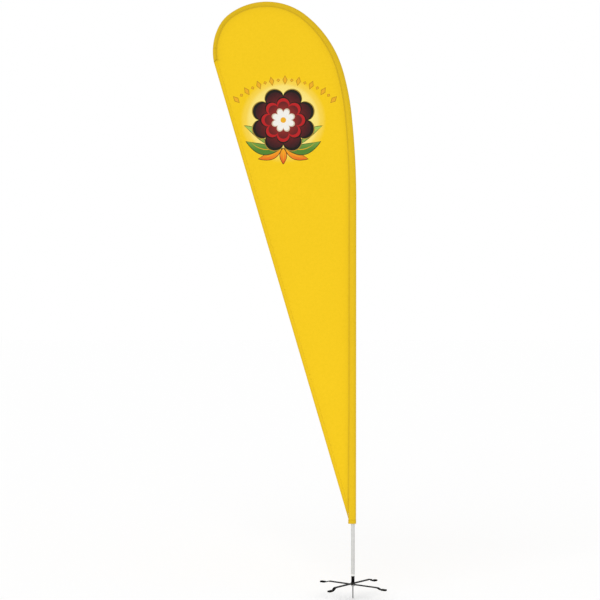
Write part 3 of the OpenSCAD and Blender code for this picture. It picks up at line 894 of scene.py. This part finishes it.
def hem_rows():
    verts, faces = [], []
    pitch = 4.6
    for off, y0 in ((3.2, 0.79), (HEM - 1.6, 0.6)):
        d = np.arange(30, EDGE_LEN - 75, pitch)
        p = edge_hi + edge_dir * d[:, None] + edge_in * off
        yb = billow(p)
        for face in (-1, 1):
            path = np.stack([p[:, 0], yb + face * (y0 - 0.04), p[:, 1]], 1)
            side = np.tile([edge_in[0], 0.0, edge_in[1]], (len(d), 1))
            nrm = np.tile([0.0, float(face), 0.0], (len(d), 1))
            v, f = stitches(path, nrm, side, pitch * 0.72, 0.32)
            faces += [tuple(k + len(verts) for k in q) for q in f]
            verts += v
    return verts, faces


def finish_closed(ob):
    bm = bmesh.new()
    bm.from_mesh(ob.data)
    bmesh.ops.recalc_face_normals(bm, faces=bm.faces)
    bm.to_mesh(ob.data)
    bm.free()
    ob.data.update()


sv, sf = seam_rows()
seam_thread = make("seam_stitches", np.array(sv) / 1000, sf, ["thread"], smooth=False)
hv, hf = hem_rows()
hem_thread = make("hem_stitches", np.array(hv) / 1000, hf, ["thread"], smooth=False)
for o in (panel, hem, tape, seam_thread, hem_thread):
    finish_closed(o)


# ------------------------------------------------------------------ cross bars and their rubber caps
LEG = 240.0
BAR_W, BAR_T = 20.0, 5.0
STEP_IN, STEP_OUT = LEG * 0.73, LEG * 0.86
FOOT = 2.0
LOW_Z = 10.0
HIGH_Z = LOW_Z + BAR_T + 0.8 + 0.3
TURN = -38.0


def bar_mid(r, z):
    q = np.clip((r - STEP_IN) / (STEP_OUT - STEP_IN), 0, 1)
    return BAR_T / 2 + FOOT + (z - FOOT) * (1 + np.cos(math.pi * q)) / 2


def rounded_section(w, t, r, k=3):
    """Outline of a flat bar's section, with edges rounded by r: points (across, up)."""
    out = []
    for cx, cz, a0 in ((w / 2 - r, t / 2 - r, 0), (-w / 2 + r, t / 2 - r, 90), (-w / 2 + r, -t / 2 + r, 180), (w / 2 - r, -t / 2 + r, 270)):
        for i in range(k + 1):
            a = math.radians(a0 + 90 * i / k)
            out.append((cx + r * math.cos(a), cz + r * math.sin(a)))
    return np.array(out)


def build_bar(name, z, turn):
    """A flat bar bent down in a smooth step at each end, its long edges rounded, with a round hole at the middle."""
    half = np.concatenate([[0.0, 14.0], np.linspace(30, STEP_IN - 4, 8), np.linspace(STEP_IN, STEP_OUT, 17), np.linspace(STEP_OUT + 4, LEG - 3.5, 5), LEG - 3.5 + 3.5 * np.sin(np.radians([30, 60, 80, 90]))])
    r = np.concatenate([-half[::-1][:-1], half])
    m = bar_mid(np.abs(r), z)
    slope = np.gradient(m, r)
    sec = rounded_section(BAR_W, BAR_T, 0.9)
    rings = []
    for x, zz, k in zip(r, m, slope):
        a = math.atan(k)
        w = 1.0
        d = LEG - abs(x)
        if d < 3.5:  # rounded end corners
            w = (BAR_W / 2 - 3.5 + math.sqrt(max(0.0, 3.5**2 - (3.5 - d) ** 2))) / (BAR_W / 2)
        th = 1.0 if d > 0.6 else 0.8
        rings.append([(x - q[1] * th * math.sin(a), q[0] * w, zz + q[1] * th * math.cos(a)) for q in sec])
    verts, faces = tube_mesh(np.array(rings))
    m_, n_ = len(rings), len(sec)
    faces.append(tuple(range(n_)))
    faces.append(tuple((m_ - 1) * n_ + j for j in range(n_))[::-1])
    t = math.radians(turn)
    verts = verts @ np.array([[math.cos(t), math.sin(t), 0], [-math.sin(t), math.cos(t), 0], [0, 0, 1]])
    ob = make(name, verts / 1000, faces, ["black"])
    finish_closed(ob)
    # round hole for the stud
    bpy.ops.mesh.primitive_cylinder_add(vertices=48, radius=0.00605, depth=0.02, location=(0, 0, (z + BAR_T / 2) / 1000))
    cutter = bpy.context.object
    mod = ob.modifiers.new("hole", "BOOLEAN")
    mod.operation = "DIFFERENCE"
    mod.object = cutter
    mod.solver = "EXACT"
    dg = bpy.context.evaluated_depsgraph_get()
    done = bpy.data.meshes.new_from_object(ob.evaluated_get(dg))
    ob.modifiers.clear()
    ob.data = done
    if not done.materials:
        done.materials.append(M["black"])
    bpy.data.objects.remove(cutter)
    done.polygons.foreach_set("use_smooth", np.ones(len(done.polygons), bool))
    done.set_sharp_from_angle(angle=math.radians(35))
    return ob


def build_caps(name, turn):
    """Moulded rubber sleeves over the bar's ends: rounded all over, with a lip at the mouth and three grip ribs on top."""
    verts, faces = [], []
    w, h = BAR_W / 2 + 2.0, FOOT + BAR_T + 2.0
    x0, x1 = LEG + 2 - 31, LEG + 2
    for flip in (1, -1):
        rings = []
        xs = np.concatenate([[x0 + 5.0, x0 + 0.05, x0], [x0 + 0.5, x0 + 1.2, x0 + 2.6, x0 + 3.4], np.linspace(x0 + 5.5, x0 + 24, 16), x1 - 4.5 + 4.5 * np.sin(np.radians([15, 32, 48, 62, 74, 84, 90]))])
        for i, x in enumerate(xs):
            if i == 0:
                sec = rounded_section(BAR_W, BAR_T, 0.5)
                mid = FOOT + BAR_T / 2
            elif i == 1:
                sec = rounded_section(BAR_W, BAR_T, 0.5)
                mid = FOOT + BAR_T / 2
            else:
                hw, hh = w, h
                if i == 2:
                    hw, hh = w - 0.7, h - 1.0
                elif x > x1 - 4.5:
                    d = x1 - x
                    k = math.sqrt(max(0.0, 4.5**2 - (4.5 - d) ** 2))
                    hw = w - 4.5 + k
                    hh = h - 2.2 + 2.2 * min(1.0, k / 3.5)
                elif x0 + 3.0 < x:
                    hw, hh = w - 0.35, h - 0.4
                    rib = max(0.0, math.sin((x - x0 - 6) / 5.2 * 2 * math.pi)) if x0 + 6 < x < x0 + 22 else 0.0
                    hh += 0.4 * rib
                sec = rounded_section(2 * hw, hh, min(1.7, hh / 3, hw / 2), 3)
                mid = hh / 2
            rings.append([(x, q[0], q[1] + mid) for q in sec])
        rings = np.array(rings)
        v, f = tube_mesh(rings)
        n = rings.shape[1]
        f.append(tuple(range(n)))
        f.append(tuple((len(rings) - 1) * n + j for j in range(n))[::-1])
        v = v * [flip, flip, 1]
        faces += [tuple(k + len(verts) for k in q) for q in f]
        verts += [tuple(p) for p in v]
    t = math.radians(turn)
    verts = np.array(verts) @ np.array([[math.cos(t), math.sin(t), 0], [-math.sin(t), math.cos(t), 0], [0, 0, 1]])
    ob = make(name, verts / 1000, faces, ["rubber"])
    finish_closed(ob)
    ob.data.set_sharp_from_angle(angle=math.radians(50))
    return ob


bar_low = build_bar("lower_cross_bar_bent", LOW_Z, TURN)
bar_high = build_bar("upper_cross_bar_bent", HIGH_Z, TURN + 90)
caps_low = build_caps("lower_bar_caps_moulded", TURN)
caps_high = build_caps("upper_bar_caps_moulded", TURN + 90)

# ------------------------------------------------------------------ what each piece stands for and rides on
for ob, body, slot, reps in (
    (panel, "pole_and_flag", "yellow_cloth", ["flag_panel"]),
    (hem, "pole_and_flag", "yellow_cloth", ["free_edge_hem"]),
    (sleeve, "pole_and_flag", "sleeve_cloth", ["pole_sleeve"]),
    (binding, "pole_and_flag", "sleeve_cloth", ["mouth_binding"]),
    (pocket, "pole_and_flag", "sleeve_cloth", ["tip_pocket"]),
    (tape, "pole_and_flag", "sleeve_cloth", []),
    (seam_thread, "pole_and_flag", "yellow_cloth", []),
    (hem_thread, "pole_and_flag", "yellow_cloth", []),
    (bar_low, "base", "black_steel", ["lower_cross_bar"]),
    (caps_low, "base", "black_rubber", ["lower_bar_caps"]),
    (bar_high, "folding_leg_bar", "black_steel", ["upper_cross_bar"]),
    (caps_high, "folding_leg_bar", "black_rubber", ["upper_bar_caps"]),
):
    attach(ob, body)
    if reps:
        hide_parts(*reps)

# ------------------------------------------------------------------ floor, light and camera
me = bpy.data.meshes.new("floor")
me.from_pydata([(-40, -12, -0.0735), (40, -12, -0.0735), (40, 60, -0.0735), (-40, 60, -0.0735)], [], [(0, 1, 2, 3)])
floor = bpy.data.objects.new("floor", me)
scene.collection.objects.link(floor)
t = Tree("pale_floor")
me.materials.append(t.set(Base_Color=(0.93, 0.93, 0.93, 1), Roughness=0.9, Specular_IOR_Level=0.0, Emission_Color=(1, 1, 1, 1), Emission_Strength=0.12))

world = bpy.data.worlds.new("studio")
scene.world = world
world.use_nodes = True
nt = world.node_tree
nt.nodes.clear()
wo = nt.nodes.new("ShaderNodeOutputWorld")
seen = nt.nodes.new("ShaderNodeBackground")
seen.inputs[0].default_value = (1, 1, 1, 1)
seen.inputs[1].default_value = 1.0
lit = nt.nodes.new("ShaderNodeBackground")
lit.inputs[0].default_value = (1, 1, 1, 1)
lit.inputs[1].default_value = 0.74
lp = nt.nodes.new("ShaderNodeLightPath")
mx = nt.nodes.new("ShaderNodeMixShader")
nt.links.new(lp.outputs["Is Camera Ray"], mx.inputs[0])
nt.links.new(lit.outputs[0], mx.inputs[1])
nt.links.new(seen.outputs[0], mx.inputs[2])
nt.links.new(mx.outputs[0], wo.inputs[0])


def sun(name, along, strength, spread):
    d = bpy.data.lights.new(name, "SUN")
    d.energy = strength
    d.angle = math.radians(spread)
    o = bpy.data.objects.new(name, d)
    o.location = (0, -3, 5)
    o.rotation_mode = "QUATERNION"
    o.rotation_quaternion = Vector(along).to_track_quat("-Z", "Y")
    scene.collection.objects.link(o)
    return o


sun("key_soft", (0.3, 0.8, -0.5), 0.74, 50)
sun("back_soft", (-0.3, -0.8, -0.5), 0.5, 60)

cam = bpy.data.cameras.new("camera")
cam.sensor_width = 36
DIST = 9.3
cam.lens = 36 * DIST / 3.6
cam_ob = bpy.data.objects.new("camera", cam)
scene.collection.objects.link(cam_ob)
cam_ob.location = (-0.3174, -DIST, 1.7186)
cam_ob.rotation_euler = (math.pi / 2, 0, 0)
cam.clip_start, cam.clip_end = 0.1, 200
scene.camera = cam_ob
scene.view_settings.view_transform = "Standard"
scene.view_settings.look = "None"
